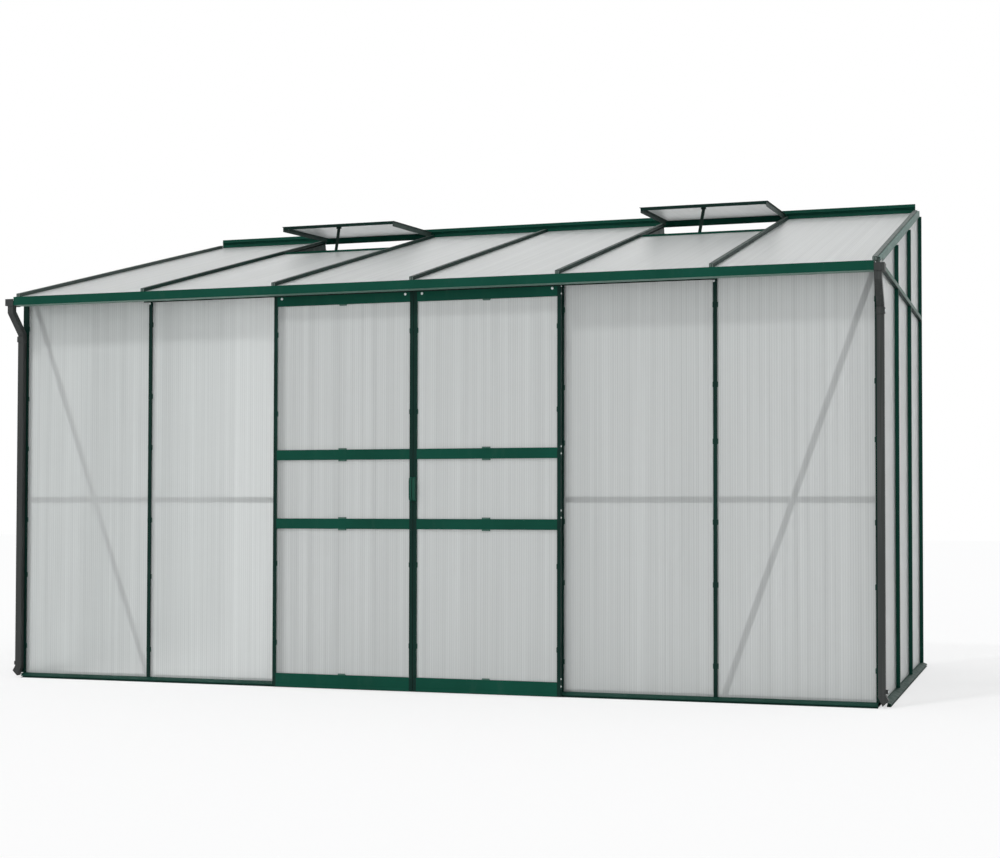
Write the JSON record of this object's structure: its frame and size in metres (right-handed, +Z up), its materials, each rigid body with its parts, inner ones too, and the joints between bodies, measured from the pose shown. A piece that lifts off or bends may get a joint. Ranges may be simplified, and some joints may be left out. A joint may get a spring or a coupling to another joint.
{
  "type": "lean-to greenhouse",
  "caption": "Lean-to greenhouse for a house wall: green bar frame, sloping roof and walls of translucent sheet, sliding doors, hinged roof vents, gutter with downpipes",
  "frame": {"origin": "on the ground, under the middle of the bounding box", "axes": "+X along the front from its left end to its right end as seen from outside, +Y from the doors towards the house wall, +Z up"},
  "size_m": [3.8536, 2.019, 2.2555],
  "materials": {
    "frame_green": "satin powder coat",
    "sill_green": "satin powder coat",
    "brace_metal": "mill finish",
    "pipe_plastic": "moulded, smooth",
    "roller_plastic": "turned, smooth",
    "twin_wall": "translucent, with fine upright ribs"
  },
  "bodies": {
    "house": {"base_frame": "sill_green", "corner_post_left": "frame_green", "corner_post_right": "frame_green", "diagonal_brace_left": "brace_metal", "diagonal_brace_right": "brace_metal", "door_track": "sill_green", "downpipe_left": "pipe_plastic", "downpipe_right": "pipe_plastic", "eave_gutter": "frame_green", "front_bar_1": "frame_green", "front_bar_2": "frame_green", "front_bar_4": "frame_green", "front_bar_5": "frame_green", "front_glazing_left": "twin_wall", "front_glazing_right": "twin_wall", "front_mid_rail_left": "brace_metal", "front_mid_rail_right": "brace_metal", "roof_bar_0": "frame_green", "roof_bar_1": "frame_green", "roof_bar_2": "frame_green", "roof_bar_3": "frame_green", "roof_bar_4": "frame_green", "roof_bar_5": "frame_green", "roof_bar_6": "frame_green", "roof_sheet_1": "twin_wall", "roof_sheet_2": "twin_wall", "roof_sheet_3": "twin_wall", "roof_sheet_4": "twin_wall", "roof_sheet_5": "twin_wall", "roof_sheet_6": "twin_wall", "side_bar_left_1": "frame_green", "side_bar_left_2": "frame_green", "side_bar_right_1": "frame_green", "side_bar_right_2": "frame_green", "side_glazing_left": "twin_wall", "side_glazing_right": "twin_wall", "side_tie_left": "frame_green", "side_tie_right": "frame_green", "vent_sill_left": "frame_green", "vent_sill_right": "frame_green", "wall_plate": "frame_green", "wall_post_left": "frame_green", "wall_post_right": "frame_green"},
    "left_door": {"door_frame_left": "frame_green", "door_glazing_left": "twin_wall", "door_pull_left": "frame_green"},
    "left_inner_roller": {"door_roller_left_inner": "roller_plastic"},
    "left_outer_roller": {"door_roller_left_outer": "roller_plastic"},
    "left_vent": {"vent_frame_left": "frame_green", "vent_sheet_left": "twin_wall"},
    "left_vent_stay": {"vent_stay_left": "frame_green"},
    "right_door": {"door_frame_right": "frame_green", "door_glazing_right": "twin_wall", "door_pull_right": "frame_green"},
    "right_inner_roller": {"door_roller_right_inner": "roller_plastic"},
    "right_outer_roller": {"door_roller_right_outer": "roller_plastic"},
    "right_vent": {"vent_frame_right": "frame_green", "vent_sheet_right": "twin_wall"},
    "right_vent_stay": {"vent_stay_right": "frame_green"}
  },
  "joints": [
    {"name": "left_door_slide", "type": "slide", "parent": "house", "child": "left_door", "axis": [-1, 0, 0], "range_m": [0, 0.62]},
    {"name": "left_inner_roller_turn", "type": "hinge", "parent": "left_door", "child": "left_inner_roller", "pos_m": [-0.031, -0.9305, 1.6759], "axis": [0, 1, 0], "continuous": true},
    {"name": "left_outer_roller_turn", "type": "hinge", "parent": "left_door", "child": "left_outer_roller", "pos_m": [-0.606, -0.9305, 1.6759], "axis": [0, 1, 0], "continuous": true},
    {"name": "left_vent_hinge", "type": "hinge", "parent": "house", "child": "left_vent", "pos_m": [-0.942, 0.9921, 2.237], "axis": [1, 0, 0], "range_deg": [0, 11.5]},
    {"name": "left_vent_stay_pivot", "type": "hinge", "parent": "left_vent", "child": "left_vent_stay", "pos_m": [-0.942, 0.44868, 2.1925], "axis": [1, 0, 0], "range_deg": [-11.5, 0]},
    {"name": "right_door_slide", "type": "slide", "parent": "house", "child": "right_door", "axis": [1, 0, 0], "range_m": [0, 0.62]},
    {"name": "right_inner_roller_turn", "type": "hinge", "parent": "right_door", "child": "right_inner_roller", "pos_m": [0.031, -0.9305, 1.6759], "axis": [0, 1, 0], "continuous": true},
    {"name": "right_outer_roller_turn", "type": "hinge", "parent": "right_door", "child": "right_outer_roller", "pos_m": [0.606, -0.9305, 1.6759], "axis": [0, 1, 0], "continuous": true},
    {"name": "right_vent_hinge", "type": "hinge", "parent": "house", "child": "right_vent", "pos_m": [0.942, 0.9921, 2.237], "axis": [1, 0, 0], "range_deg": [0, 11.5]},
    {"name": "right_vent_stay_pivot", "type": "hinge", "parent": "right_vent", "child": "right_vent_stay", "pos_m": [0.942, 0.44868, 2.1925], "axis": [1, 0, 0], "range_deg": [-11.5, 0]}
  ],
  "couplings": [
    {"joint": "left_inner_roller_turn", "follows": "left_door_slide", "rad_per_m": -100},
    {"joint": "left_outer_roller_turn", "follows": "left_door_slide", "rad_per_m": -100},
    {"joint": "left_vent_stay_pivot", "follows": "left_vent_hinge", "ratio": -1},
    {"joint": "right_inner_roller_turn", "follows": "right_door_slide", "rad_per_m": 100},
    {"joint": "right_outer_roller_turn", "follows": "right_door_slide", "rad_per_m": 100},
    {"joint": "right_vent_stay_pivot", "follows": "right_vent_hinge", "ratio": -1}
  ]
}
